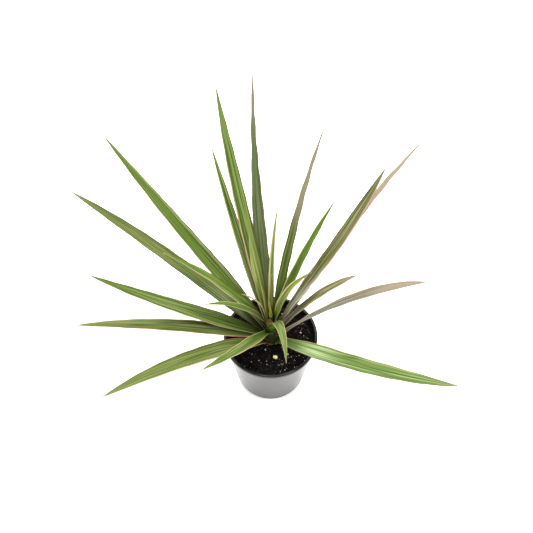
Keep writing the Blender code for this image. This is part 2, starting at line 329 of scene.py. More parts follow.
def closed_strip(
    name: str, top: np.ndarray, under: np.ndarray, places: np.ndarray
) -> bpy.types.Object:
    """Closes two faces of a thin blade into one shell with a UV map.

    The two grids share their first and last columns, which are the blade's edges. The
    map runs from 0 to 1 across the top, on from 1 to 2 back across the underside, and
    from 0 to 1 along the blade. Each end is closed by a row of faces from the top to the
    underside.

    Args:
        name: The piece's name.
        top: Points of the upper face, rows along the blade and columns across it.
        under: Points of the underside, in the same order.
        places: Where each column lies across the blade, from 0 to 1.

    Returns:
        The closed piece, its faces turned outwards.
    """
    loop = np.concatenate([top, under[:, -2:0:-1]], axis=1)
    rows, around, _ = loop.shape
    across = np.concatenate([places, 2 - places[-2::-1]])
    along = np.linspace(0, 1, rows)
    row = np.arange(rows - 1)[:, None, None] + np.array([0, 0, 1, 1])
    side = np.arange(around)[None, :, None] + np.array([0, 1, 1, 0])
    uv = list(np.stack(np.broadcast_arrays(across[side], along[row]), -1).reshape(-1, 4, 2))
    points, faces = loop.reshape(-1, 3), ring_faces(rows, around)
    for end in (0, rows - 1):
        for index in range(len(places) - 1):
            pairs = index, index + 1, around - index - 1, around - index
            corners = list(dict.fromkeys(corner % around for corner in pairs))[:: 1 if end else -1]
            faces.append(tuple(end * around + corner for corner in corners))
            uv.append([(min(across[corner], 2 - across[corner]), along[end]) for corner in corners])
    if volume(points, faces) < 0:
        faces, uv = [face[::-1] for face in faces], [place[::-1] for place in uv]
    piece = new_piece(name, points, faces)
    piece.data.uv_layers.new(name="strip").data.foreach_set("uv", np.concatenate(uv).ravel())
    return piece


def arc(centre: tuple[float, float], radius: float, start: float, end: float) -> Profile:
    """Points of a profile on an arc from one angle to another: 0 is outwards and 90 up."""
    angles = np.radians(np.linspace(start, end, round(abs(end - start) / ARC_STEP) + 1))
    return [(centre[0] + radius * math.cos(a), centre[1] + radius * math.sin(a)) for a in angles]


def lumps(x: np.ndarray, y: np.ndarray, size: float, seed: int, waves: int = 14) -> np.ndarray:
    """Seeded bumps, mostly from -1 to 1: a sum of sine waves of mixed length and heading.

    Args:
        x: Places across, in metres.
        y: Places along, in metres.
        size: The typical length of a wave.
        seed: Start of the random draws.
        waves: How many waves are added.

    Returns:
        The height at each place.
    """
    draw = np.random.default_rng(seed)
    total = np.zeros_like(x)
    for _ in range(waves):
        heading, phase = draw.uniform(0, math.tau, 2)
        pitch = math.tau / (size * draw.uniform(0.5, 1.6))
        total += np.sin(pitch * (x * math.cos(heading) + y * math.sin(heading)) + phase)
    return total / math.sqrt(waves * 2)


# Finishes


@dataclass(frozen=True)
class PotFinish:
    """Black moulded plastic, half glossy, with a dusty film and fine scuffs."""

    name: str
    black: Colour
    dust: Colour
    shine: float
    gloss: float
    cloud_scale: float = 38.0
    grain_scale: float = 1400.0
    ring_scale: float = 900.0
    clouded: Range = (0.35, 0.75)
    cloud_share: float = 0.5
    specked: Range = (0.6, 0.8)
    speck_share: float = 0.12
    relief: float = 0.02 * MM

    def material(self) -> bpy.types.Material:
        """Builds the pot's material.

        Returns:
            The material.
        """
        graph = Graph(self.name, {"Specular IOR Level": self.shine})
        cloud = graph.noise(graph.place(), self.cloud_scale, 4.0)
        grain = graph.noise(graph.place(), self.grain_scale)
        rings = graph.rings(self.ring_scale, 1.0)
        film = cloud.rise(*self.clouded) * self.cloud_share + grain.rise(*self.specked) * self.speck_share
        colour = graph.mix(film, self.black, self.dust)
        rough = self.gloss + cloud * 0.04 + grain * 0.03
        return graph.finish(colour, rings * 0.6 + grain * 0.4, self.relief, rough)


@dataclass(frozen=True)
class SoilFinish:
    """Damp peat and bark: nearly black, flecked with brown, rough throughout."""

    name: str
    dark: Colour = (0.0022, 0.0019, 0.0017)
    brown: Colour = (0.013, 0.0095, 0.0070)
    fleck: Colour = (0.16, 0.145, 0.125)
    clod_scale: float = 260.0
    fleck_scale: float = 700.0
    browned: Range = (0.45, 0.75)
    flecked: Range = (0.70, 0.76)
    fleck_share: float = 0.8
    relief: float = 0.7 * MM

    def material(self) -> bpy.types.Material:
        """Builds the soil's material.

        Returns:
            The material.
        """
        graph = Graph(self.name, {"Specular IOR Level": 0.06})
        clods = graph.noise(graph.place(), self.clod_scale, 4.0, 0.6)
        flecks = graph.noise(graph.place(), self.fleck_scale, 1.0)
        colour = graph.mix(clods.rise(*self.browned), self.dark, self.brown)
        colour = graph.mix(flecks.rise(*self.flecked) * self.fleck_share, colour, self.fleck)
        return graph.finish(colour, clods, self.relief, 0.8 + clods * 0.2)


@dataclass(frozen=True)
class GrainFinish:
    """Mineral or feed grains: pale, stained where they lie in the soil, with dark pores."""

    name: str
    pale: Colour
    stain: Colour
    pore: Colour = (0.05, 0.04, 0.02)
    stain_scale: float = 330.0
    pore_scale: float = 900.0
    stained: Range = (0.4, 0.6)
    pored: Range = (0.62, 0.72)
    pore_share: float = 0.6
    relief: float = 0.4 * MM

    def material(self) -> bpy.types.Material:
        """Builds the grains' material.

        Returns:
            The material.
        """
        graph = Graph(self.name, {"Specular IOR Level": 0.3})
        pores = graph.noise(graph.place(), self.pore_scale, 3.0, 0.6)
        stains = graph.noise(graph.place(), self.stain_scale, 1.0)
        colour = graph.mix(stains.rise(*self.stained), self.pale, self.stain)
        colour = graph.mix(pores.rise(*self.pored) * self.pore_share, colour, self.pore)
        return graph.finish(colour, pores, self.relief, 0.8 + pores * 0.1)


@dataclass(frozen=True)
class CaneFinish:
    """The cane: tan and woody low down, green where the crown begins."""

    bark: Colour = (0.06, 0.042, 0.018)
    dark: Colour = (0.014, 0.011, 0.005)
    green: Colour = (0.016, 0.034, 0.003)
    ring_scale: float = 700.0
    fibre_scale: float = 900.0
    darkened: Range = (0.5, 0.7)
    dark_share: float = 0.7
    relief: float = 0.25 * MM

    def material(self, low: float, high: float) -> bpy.types.Material:
        """Builds the cane's material.

        Args:
            low: Height where the bark begins to turn green.
            high: Height where it is green throughout.

        Returns:
            The material.
        """
        graph = Graph("cane_dressed", {"Specular IOR Level": 0.3})
        rings = graph.rings(self.ring_scale, 2.0)
        fibres = graph.noise(graph.place(), self.fibre_scale, 3.0)
        colour = graph.mix(graph.height().rise(low, high), self.bark, self.green)
        darkness = (rings * 0.6 + fibres * 0.4).rise(*self.darkened) * self.dark_share
        colour = graph.mix(darkness, colour, self.dark)
        return graph.finish(colour, rings * 0.5 + fibres * 0.5, self.relief, 0.6 + fibres * 0.3)


@dataclass(frozen=True)
class DryFinish:
    """Dry leaf sheaths: papery, tan to brown, with lengthwise fibres."""

    tan: Colour = (0.36, 0.24, 0.11)
    brown: Colour = (0.10, 0.055, 0.022)
    fibres: Range = (14.0, 1.5)
    stain_scale: float = 300.0
    browned: Range = (0.35, 0.65)
    relief: float = 0.2 * MM

    def material(self) -> bpy.types.Material:
        """Builds the dry sheaths' material.

        Returns:
            The material.
        """
        graph = Graph("dry_sheath", {"Specular IOR Level": 0.3})
        fibres = graph.strands(*self.fibres, detail=3.0)
        stain = graph.noise(graph.place(), self.stain_scale)
        colour = graph.mix((fibres * 0.6 + stain * 0.4).rise(*self.browned), self.tan, self.brown)
        return graph.finish(colour, fibres, self.relief, 0.7 + fibres * 0.15)


@dataclass(frozen=True)
class SheathFinish:
    """A young leaf's sheath: fleshy green at its foot, paler or rusty towards its tip."""

    foot: Colour
    tip: Colour
    fibres: Range = (10.0, 1.5)
    tip_reach: Range = (0.15, 0.8)
    raggedness: float = 0.8
    relief: float = 0.1 * MM

    def material(self, name: str) -> bpy.types.Material:
        """Builds the sheath's material.

        Args:
            name: The material's name.

        Returns:
            The material.
        """
        graph = Graph(name, {"Specular IOR Level": 0.15})
        fibres = graph.strands(*self.fibres)
        place = graph.strip()[1] + (fibres - 0.5) * self.raggedness
        colour = graph.mix(place.rise(*self.tip_reach), self.foot, self.tip)
        return graph.finish(colour, fibres, self.relief, 0.42 + fibres * 0.1)


@dataclass(frozen=True)
class SpearFinish:
    """The rolled young leaves: bright yellow-green with fine streaks, rusty higher up."""

    green: Colour = (0.22, 0.30, 0.03)
    pale: Colour = (0.36, 0.40, 0.10)
    rust: Colour = (0.42, 0.25, 0.06)
    streak_scale: float = 900.0
    stretch: float = 0.12
    streaked: Range = (0.4, 0.65)
    rusted: Range = (0.2, 0.7)
    rust_share: float = 0.6
    relief: float = 0.15 * MM

    def material(self, foot: float, length: float) -> bpy.types.Material:
        """Builds the spear's material.

        Args:
            foot: Height of the spear's foot.
            length: How tall the spear is.

        Returns:
            The material.
        """
        graph = Graph("rolled_leaves", {"Specular IOR Level": 0.4, "Roughness": 0.42})
        drawn_out = graph.node("ShaderNodeMapping", {0: graph.place(), 3: (1.0, 1.0, self.stretch)})
        streaks = graph.noise(drawn_out.outputs[0], self.streak_scale)
        colour = graph.mix(streaks.rise(*self.streaked), self.green, self.pale)
        low, high = (foot + share * length for share in self.rusted)
        colour = graph.mix(graph.height().rise(low, high) * self.rust_share, colour, self.rust)
        return graph.finish(colour, streaks, self.relief)


class Margin(Enum):
    """How one edge of a blade is coloured: its stripe, edge line and inner line."""

    CREAM = ((0.46, 0.42, 0.22), (0.26, 0.14, 0.06), (0.24, 0.28, 0.09))
    PALE = ((0.32, 0.34, 0.13), (0.28, 0.21, 0.10), (0.22, 0.26, 0.08))
    TAN = ((0.34, 0.28, 0.16), (0.22, 0.12, 0.06), (0.17, 0.19, 0.06))
    PINK = ((0.46, 0.34, 0.24), (0.30, 0.11, 0.065), (0.22, 0.21, 0.09))
    ROSE = ((0.46, 0.26, 0.20), (0.38, 0.10, 0.07), (0.26, 0.18, 0.10))
    RUST = ((0.13, 0.065, 0.022), (0.070, 0.024, 0.011), (0.09, 0.10, 0.02))
    # the dark stripe paints a margin folded under: partly its underside colour, partly painted shade; a
    # pale line runs along the fold's crease
    PAINTED_FOLD = ((0.070, 0.036, 0.018), (0.050, 0.018, 0.010), (0.36, 0.38, 0.20))


@dataclass(frozen=True)
class Blush:
    """One kind of leaf tissue: its greens, and how strongly it is streaked.

    The foot colour at the blade's clasping base is painted shade of the crown, and on
    the lime leaves a lighter yellow-green that is partly their own base. The deep green
    is in the darker streaks, and over the lower third it is painted shade, darkest at
    the foot; the green is the blade's own, the pale one is in its lighter streaks, and
    the worn colour comes in patches.
    """

    # painted shade of the crown at the clasping base; on the lime leaves partly their own lighter base
    foot: Colour
    # the darker streaks' green, also used as painted shade over the blade's lower third
    deep: Colour
    green: Colour
    pale: Colour
    worn: Colour
    streaks: float
    wear: float
    roughness: float = 0.46
    gloss: float = 0.10


class Tissue(Enum):
    """The kinds of leaf on the plant, from the oldest to the youngest."""

    OLIVE = Blush(
        foot=(0.010, 0.024, 0.002), deep=(0.026, 0.044, 0.004), green=(0.072, 0.098, 0.019),
        pale=(0.128, 0.152, 0.050), worn=(0.120, 0.105, 0.040), streaks=0.9, wear=0.35,
    )
    DUSKY = Blush(
        foot=(0.010, 0.022, 0.002), deep=(0.022, 0.038, 0.006), green=(0.062, 0.084, 0.026),
        pale=(0.100, 0.118, 0.058), worn=(0.140, 0.110, 0.060), streaks=0.7, wear=0.4,
    )
    DRY = Blush(
        foot=(0.012, 0.022, 0.004), deep=(0.045, 0.048, 0.022), green=(0.125, 0.118, 0.082),
        pale=(0.235, 0.220, 0.170), worn=(0.170, 0.120, 0.075), streaks=0.8, wear=0.6, roughness=0.5,
    )
    STRIPED = Blush(
        foot=(0.012, 0.024, 0.002), deep=(0.034, 0.048, 0.008), green=(0.105, 0.116, 0.034),
        pale=(0.220, 0.210, 0.105), worn=(0.170, 0.120, 0.060), streaks=1.0, wear=0.4,
        roughness=0.40, gloss=0.15,
    )
    GREEN = Blush(
        foot=(0.008, 0.026, 0.001), deep=(0.024, 0.050, 0.003), green=(0.070, 0.115, 0.014),
        pale=(0.140, 0.175, 0.055), worn=(0.140, 0.120, 0.040), streaks=0.9, wear=0.25,
    )
    STREAKED = Blush(
        foot=(0.008, 0.026, 0.001), deep=(0.026, 0.056, 0.004), green=(0.070, 0.112, 0.020),
        pale=(0.165, 0.215, 0.078), worn=(0.150, 0.130, 0.050), streaks=1.0, wear=0.2,
        roughness=0.42, gloss=0.12,
    )
    BRIGHT = Blush(
        foot=(0.010, 0.032, 0.001), deep=(0.024, 0.056, 0.002), green=(0.072, 0.126, 0.012),
        pale=(0.150, 0.195, 0.052), worn=(0.160, 0.140, 0.050), streaks=0.9, wear=0.15,
    )
    LIME = Blush(
        foot=(0.060, 0.090, 0.003), deep=(0.045, 0.068, 0.003), green=(0.120, 0.170, 0.020),
        pale=(0.220, 0.260, 0.080), worn=(0.260, 0.210, 0.090), streaks=0.7, wear=0.15,
    )


@dataclass(frozen=True)
class LeafFinish:
    """A blade's skin: lengthwise streaks and ribs, two margins, a dry tip, a pale back,
    painted shade towards its foot and a painted glare.

    Bands and veins are counted per millimetre of width, and the edge and inner lines
    are in millimetres. A reach is the pair of shares of the blade's length between
    which a colour comes in, or gives out where the first is the larger.
    """

    leaf: "Leaf"
    seed: float
    bands: float = 0.40
    veins: float = 0.85
    banded: Range = (0.42, 0.60)
    veined: Range = (0.48, 0.62)
    vein_share: float = 0.9
    # painted shade: the lower third of the blade darkens to its deep green towards the foot
    base_shade_reach: Range = (0.34, 0.04)
    # painted shade of the crown at the clasping foot; on the lime leaves partly their own lighter base
    foot_shade_and_tone_reach: Range = (0.13, 0.05)
    wear_reach: Range = (0.1, 0.5)
    tip_reach: Range = (0.965, 0.995)
    fade_reach: float = 0.2
    fade_share: float = 0.75
    # painted glare: how the pale patch that stands in for the light's shine rises and falls along the
    # blade, and where in the streaks it shows
    glare_rise: float = 0.15
    glare_fall: float = 0.2
    glared: Range = (0.55, 0.95)
    worn: Range = (0.52, 0.72)
    raggedness: float = 0.06
    edge_line: float = 0.55
    inner_line: float = 0.45
    back_share: float = 0.35
    back: Colour = (0.13, 0.155, 0.085)
    tan: Colour = (0.21, 0.165, 0.115)
    # colour of the painted glare
    glare_tint: Colour = (0.30, 0.38, 0.18)
    relief: float = 0.12 * MM

    def _edge(self, graph: Graph, colour: Any, depth: Channel, share: float, margin: Margin) -> Any:
        """Paints one margin from the inside out: inner line, stripe, and edge line.

        Each has its colour, how far in from the edge it reaches, the shares of that
        reach between which it comes in, and its strength.

        Args:
            graph: The blade's material graph.
            colour: The colour so far.
            depth: How far in from the edge, as a share of the width.
            share: The stripe's share of the width.
            margin: The margin's colours.

        Returns:
            The colour with the margin painted over it.
        """
        stripe, line, inner = margin.value
        layers = (
            (inner, share + self.inner_line / self.leaf.width, 1.15, 0.9, 0.8),
            (stripe, share, 1.15, 0.85, 1.0),
            (line, self.edge_line / self.leaf.width, 1.4, 0.6, 0.85),
        )
        for tint, reach, start, full, strength in layers:
            colour = graph.mix(depth.rise(reach * start, reach * full) * strength, colour, tint)
        return colour

    def material(self) -> bpy.types.Material:
        """Builds the blade's material.

        Returns:
            The material.
        """
        leaf, blush = self.leaf, self.leaf.tissue.value
        graph = Graph(f"{leaf.name}_skin", {"Specular IOR Level": blush.gloss})
        side, along = graph.strip()
        across, under = side.folded(), side.over(1.0)
        bands = graph.strands(leaf.width * self.bands, 2.2, self.seed)
        veins = graph.strands(leaf.width * self.veins, 3.0, self.seed + 7.0, detail=1.0)
        patches = graph.strands(1.5, 7.0, self.seed + 3.0, detail=4.0, rough=0.6)
        ragged = graph.strands(1.5, 9.0, self.seed + 5.0)

        green, pale = (tuple(part * leaf.glow for part in tint) for tint in (blush.green, blush.pale))
        colour = graph.mix(bands.rise(*self.banded) * blush.streaks, green, pale)
        colour = graph.mix(veins.rise(*self.veined) * (blush.streaks * self.vein_share), colour, blush.deep)
        # painted shade: the lower third darkens to the deep green towards the foot
        colour = graph.mix(along.rise(*self.base_shade_reach), colour, blush.deep)
        # painted glare: a pale green patch that stands in for the light's shine on the blade
        near = along.rise(leaf.glare_at - self.glare_rise, leaf.glare_at)
        near = near * along.rise(leaf.glare_at + self.glare_fall, leaf.glare_at)
        painted_glare = (bands + veins * 0.5).rise(*self.glared) * near * leaf.glare_share
        colour = graph.mix(painted_glare, colour, self.glare_tint)
        # painted shade where the blade clasps into the crown; on the lime leaves a lighter yellow-green,
        # partly their own base
        colour = graph.mix(along.rise(*self.foot_shade_and_tone_reach), colour, blush.foot)
        worn = patches.rise(*self.worn) * blush.wear * along.rise(*self.wear_reach)
        colour = graph.mix(worn, colour, blush.worn)

        shift = (ragged - 0.5) * self.raggedness
        colour = self._edge(graph, colour, across + shift, leaf.first_share, leaf.first)
        colour = self._edge(graph, colour, (1.0 - across) + shift, leaf.second_share, leaf.second)
        faded = along.rise(leaf.faded_from, leaf.faded_from + self.fade_reach) * self.fade_share
        colour = graph.mix(faded, colour, self.tan)
        colour = graph.mix(along.rise(*self.tip_reach), colour, self.tan)
        colour = graph.mix(under * self.back_share, colour, self.back)
        rough = blush.roughness + under * 0.12 + veins * 0.08
        return graph.finish(colour, veins, self.relief, rough)


# The pot


@dataclass
class Pot:
    """The tapered pot, turned from one profile, with drain holes cut through its floor."""

    rim_radius: float
    height: float
    base_radius: float = 39 * MM
    wall: float = 1.2 * MM
    lip_height: float = 4.6 * MM
    lip_depth: float = 2.2 * MM
    lip_corner: float = 0.6 * MM
    bead: float = 1.1 * MM
    rib_step: float = 1 * MM
    rib_height: float = 0.1 * MM
    foot_height: float = 3 * MM
    foot_step: float = 1 * MM
    foot_width: float = 4 * MM
    foot_corner: float = 0.5 * MM
    pad_radius: float = 13 * MM
    floor_raise: float = 2.4 * MM
    drains: int = 8
    drain_radius: float = 3.6 * MM
    drain_circle: float = 24 * MM
    drain_sides: int = 28
    cutter_height: float = 20 * MM
    sides: int = 192
    sharp_angle: float = 32
    # painted light: a lighter copy of the pot's black plastic, standing in for the bright table that the
    # wall mirrors
    lit_wall_finish: PotFinish = PotFinish(
        "pot_wall_lit_plastic", (0.016, 0.0135, 0.010), (0.046, 0.039, 0.029), shine=0.42, gloss=0.15
    )
    # painted shade: a darker copy of the same plastic, for the lip's top and the inside
    shaded_lip_finish: PotFinish = PotFinish(
        "pot_lip_shaded_plastic", (0.004, 0.004, 0.004), (0.016, 0.015, 0.014), shine=0.16, gloss=0.24
    )

    def wall_radius(self, height: Any) -> Any:
        """Outer radius of the tapered wall at a height."""
        share = (height - self.foot_height) / (self.height - self.lip_height - self.foot_height)
        return self.base_radius + share * (self.rim_radius - self.lip_depth - self.base_radius)

    def profile(self) -> Profile:
        """The wall in section: up the inside, over the lip and down the outside.

        Returns:
            Points of (radius, height), from the axis back to the axis.
        """
        wall, step, ramp, pad = self.wall, self.foot_step, self.floor_raise, self.pad_radius
        under_lip = self.height - self.lip_height
        foot_outer = self.base_radius - step
        foot_inner = foot_outer - self.foot_width
        bead_height = self.height - self.bead
        inside = [
            (0, wall),
            (pad - wall / 2, wall),
            (pad + ramp - wall / 2, ramp + wall),
            (foot_inner - ramp + wall / 2, ramp + wall),
            (foot_inner + wall / 2, wall),
            (foot_outer - wall, wall),
            (self.wall_radius(self.foot_height) - wall, self.foot_height + step),
            (self.wall_radius(under_lip) - wall, under_lip),
        ]
        inner_bead = (self.rim_radius - self.lip_depth - wall + self.bead, bead_height)
        outer_bead = (self.rim_radius - self.bead, bead_height)
        lip = arc(inner_bead, self.bead, 180, 90) + arc(outer_bead, self.bead, 90, 0)
        corner = self.lip_corner
        lip += arc((self.rim_radius - corner, under_lip + corner), corner, 0, -90)
        rib, rib_end = under_lip - self.rib_step, under_lip - 2 * self.rib_step
        outside = [
            (self.wall_radius(under_lip), under_lip),
            (self.wall_radius(rib) + self.rib_height, rib),
            (self.wall_radius(rib_end), rib_end),
            (self.base_radius, self.foot_height),
            (foot_outer, self.foot_height - step / 2),
        ]
        foot = arc((foot_outer - self.foot_corner, self.foot_corner), self.foot_corner, 0, -90)
        foot += [(foot_inner, 0), (foot_inner - ramp, ramp), (pad + ramp, ramp), (pad, 0), (0, 0)]
        return inside + lip + outside + foot

    def _cut_drains(self, piece: bpy.types.Object) -> None:
        """Cuts the ring of drain holes and keeps the result as the piece's mesh.

        Args:
            piece: The pot.
        """
        bm = bmesh.new()
        size = {"radius1": self.drain_radius, "radius2": self.drain_radius, "depth": self.cutter_height}
        for index in range(self.drains):
            angle = math.tau * (index + 0.5) / self.drains
            made = bmesh.ops.create_cone(bm, cap_ends=True, segments=self.drain_sides, **size)
            place = Vector((math.cos(angle), math.sin(angle), 0)) * self.drain_circle
            bmesh.ops.translate(bm, verts=made["verts"], vec=place)
        mesh = bpy.data.meshes.new("drain_cutters")
        bm.to_mesh(mesh)
        bm.free()
        cutter = bpy.data.objects.new("drain_cutters", mesh)
        bpy.context.scene.collection.objects.link(cutter)
        cut = piece.modifiers.new("Drains", "BOOLEAN")
        cut.operation = "DIFFERENCE"
        cut.object = cutter
        graph = bpy.context.evaluated_depsgraph_get()
        done = bpy.data.meshes.new_from_object(piece.evaluated_get(graph))
        piece.modifiers.clear()
        piece.data = done
        bpy.data.objects.remove(cutter, do_unlink=True)

    def _paint(self, mesh: bpy.types.Mesh) -> None:
        """Gives the top edge and the inside a darker copy of the black plastic, which is
        painted shade, and the outside a lighter, dusty copy, whose extra lightness is
        painted light of the bright table that the wall mirrors.

        A face is outside if its centre is under the lip's bead and further out than the
        middle of the wall's thickness.

        Args:
            mesh: The pot's mesh.
        """
        centres = np.empty(len(mesh.polygons) * 3)
        mesh.polygons.foreach_get("center", centres)
        x, y, z = centres.reshape(-1, 3).T
        under_bead = z < self.height - 1.2 * self.bead
        outer = np.hypot(x, y) > self.wall_radius(z) - self.wall / 2
        mesh.materials.clear()
        mesh.materials.append(self.lit_wall_finish.material())
        mesh.materials.append(self.shaded_lip_finish.material())
        # the outer wall takes the lighter copy (painted light), the lip's top and the inside the darker one
        # (painted shade)
        mesh.polygons.foreach_set("material_index", np.where(under_bead & outer, 0, 1))

    def build(self) -> None:
        """Makes the pot and puts it in the place of its CAD node."""
        piece = turned_piece("nursery_pot", self.profile(), self.sides)
        self._cut_drains(piece)
        piece.data.set_sharp_from_angle(angle=math.radians(self.sharp_angle))
        self._paint(piece.data)
        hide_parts("pot")
        log.info("pot: %d faces", len(piece.data.polygons))


# The soil


@dataclass
class Soil:
    """The potting mix: a lumpy bed, its crumbs and slivers, and pale grains.

    The places of the white grains and of the big one are in millimetres. A bit is
    pitched by up to so many radians, and its centre lies over the soil by a share of
    half its height.
    """

    pot: Pot
    level: float = 70 * MM
    hole: float = 6.7 * MM
    hole_depth: float = 26.3 * MM
    gap: float = 0.3 * MM
    rings: int = 84
    sides: int = 240
    lump: float = 1.3 * MM
    clod: float = 0.55 * MM
    clod_size: float = 6 * MM
    fine_clod_size: float = 2.4 * MM
    seed: int = 11
    crumbs: int = 900
    crumb_sizes: Range = (0.45 * MM, 1.7 * MM)
    slivers: int = 70
    sliver_size: tuple[float, float, float] = (1.7 * MM, 0.4 * MM, 0.25 * MM)
    grains: int = 150
    grain_sizes: Range = (0.25 * MM, 0.75 * MM)
    white_grains: tuple[Range, ...] = (
        (-4, -8), (-6, -13), (-4, -32), (-13, -27), (-23, -18), (23, -23), (38, -27),
        (19, -19), (12, -31), (11, -41), (34, 9),
    )
    white_grain_size: float = 1.15 * MM
    big_grain: Range = (5.2, -23.4)
    big_grain_size: tuple[float, float, float] = (3.3 * MM, 2.64 * MM, 2.31 * MM)
    bit_lift: float = 0.35
    bit_pitch: float = 0.5
    peat: SoilFinish = SoilFinish("potting_mix")
    bark: SoilFinish = SoilFinish(
        "bark_bits", (0.008, 0.006, 0.004), (0.035, 0.024, 0.014), (0.15, 0.12, 0.09)
    )
    grit: GrainFinish = GrainFinish("mineral_grit", (0.42, 0.41, 0.38), (0.16, 0.14, 0.11))
    feed: GrainFinish = GrainFinish("slow_feed_grain", (0.80, 0.72, 0.42), (0.50, 0.38, 0.07))

    @property
    def edge(self) -> float:
        """Radius of the soil where it meets the pot's wall."""
        return self.pot.wall_radius(self.level) - self.pot.wall - self.gap

    def top(self, x: np.ndarray, y: np.ndarray) -> np.ndarray:
        """The soil's height: its level, broad lumps and two sizes of clods.

        The lumps are the CAD soil's: a sum of three waves, which fades to nothing
        at the stem and at the wall with the sine of the share of the way between them.

        Args:
            x: Places across.
            y: Places along.

        Returns:
            The height over the table.
        """
        share = np.clip((np.hypot(x, y) - self.hole) / (self.edge - self.hole), 0, 1)
        waves = np.sin(x * 190 + 1.0) * np.cos(y * 150)
        waves = waves + 0.7 * np.sin(x * 310 - y * 270) + 0.5 * np.cos(x * 120 + y * 420 + 2.0)
        clods = lumps(x, y, self.clod_size, self.seed)
        clods = clods + 0.6 * lumps(x, y, self.fine_clod_size, self.seed + 1)
        fade = smooth(0, 0.08, share) * smooth(1, 0.96, share)
        rise = self.lump * np.sin(math.pi * share) ** 0.6 * waves / 2.2
        return self.level + rise + self.clod * clods * fade

    def _bed(self) -> bpy.types.Object:
        """Makes the closed bed: the hole's wall, the top, the outer wall and the floor.

        Returns:
            The bed.
        """
        pot = self.pot
        floor = pot.floor_raise + pot.wall + self.gap
        low_edge = pot.wall_radius(floor + pot.foot_step) - pot.wall - pot.foot_step - self.gap
        reach = np.linspace(self.hole, self.edge, self.rings)
        x, y = circles(np.concatenate([[0, self.hole], reach, [low_edge, 0]]), self.sides)
        height = self.top(x, y)
        height[:2] = self.level - self.hole_depth
        height[-2:] = floor
        return ring_piece("soil_bed", np.stack([x, y, height], -1))

    def _scatter(
        self, name: str, places: np.ndarray, sizes: np.ndarray, seed: int, rough: float = 0.3
    ) -> bpy.types.Object:
        """Rough bits: a twenty-sided ball each, its corners moved in or out, then turned.

        Args:
            name: The piece's name.
            places: (x, y) of each bit.
            sizes: Half its length, width and height, one row a bit.
            seed: Start of the random draws, counted from the soil's own.
            rough: How far a corner moves, as a share of the size.

        Returns:
            All the bits as one flat-shaded piece, each sunk a little into the soil.
        """
        draw = np.random.default_rng(self.seed + seed)
        bm = bmesh.new()
        bmesh.ops.create_icosphere(bm, subdivisions=1, radius=1)
        ball = np.array([vertex.co[:] for vertex in bm.verts])
        sides = np.array([[vertex.index for vertex in face.verts] for face in bm.faces])
        bm.free()
        count = len(places)
        corners = ball[None] * draw.uniform(1 - rough, 1 + rough, (count, len(ball), 1))
        x, y, z = np.moveaxis(corners * sizes[:, None, :], -1, 0)
        spin = draw.uniform(0, math.tau, (count, 1))
        x, z = turned(x, z, draw.uniform(-self.bit_pitch, self.bit_pitch, (count, 1)))
        x, y = turned(x, y, spin)
        base = self.top(places[:, 0], places[:, 1]) + sizes[:, 2] * self.bit_lift
        points = np.stack([x + places[:, :1], y + places[:, 1:], z + base[:, None]], -1)
        faces = (sides + np.arange(count)[:, None, None] * len(ball)).reshape(-1, 3).tolist()
        piece = new_piece(name, points.reshape(-1, 3), faces)
        piece.data.shade_flat()
        return piece

    def _places(self, count: int, seed: int, margin: float) -> np.ndarray:
        """Seeded places spread evenly over the ring of soil.

        Args:
            count: How many places.
            seed: Start of the random draws, counted from the soil's own.
            margin: How far they keep from the hole and from the wall.

        Returns:
            (x, y) of each place.
        """
        draw = np.random.default_rng(self.seed + seed)
        reach = np.sqrt(draw.uniform((self.hole + margin) ** 2, (self.edge - margin) ** 2, count))
        angle = draw.uniform(0, math.tau, count)
        return np.stack([reach * np.cos(angle), reach * np.sin(angle)], 1)

    def build(self) -> None:
        """Makes the bed and everything that lies on it."""
        peat, bark, grit, feed = (kind.material() for kind in (self.peat, self.bark, self.grit, self.feed))
        bed = self._bed()
        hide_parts("soil")
        draw = np.random.default_rng(self.seed + 2)
        size = draw.uniform(*self.crumb_sizes, (self.crumbs, 1)) * draw.uniform(0.7, 1.2, (self.crumbs, 3))
        crumbs = self._scatter("soil_crumbs", self._places(self.crumbs, 3, 2 * MM), size, 10)
        size = np.array(self.sliver_size) * draw.uniform(0.6, 1.5, (self.slivers, 3))
        slivers = self._scatter("bark_slivers", self._places(self.slivers, 4, 4 * MM), size, 11)
        size = draw.uniform(*self.grain_sizes, (self.grains, 1)) * draw.uniform(0.8, 1.2, (self.grains, 3))
        grains = self._scatter("mineral_grains", self._places(self.grains, 5, 3 * MM), size, 12)
        places = np.array(self.white_grains) * MM
        size = draw.uniform(0.6, 1.2, (len(places), 3)) * self.white_grain_size
        white = self._scatter("white_grains", places, size, 13)
        places, size = np.array([self.big_grain]) * MM, np.array([self.big_grain_size])
        big = self._scatter("yellow_grain", places, size, 15, rough=0.15)
        dressed = ((bed, peat), (crumbs, peat), (slivers, bark), (grains, grit), (white, grit), (big, feed))
        for piece, material in dressed:
            piece.data.materials.append(material)
            log.info("%s: %d faces", piece.name, len(piece.data.polygons))


# The cane, the sheaths round it, and the spear on its top


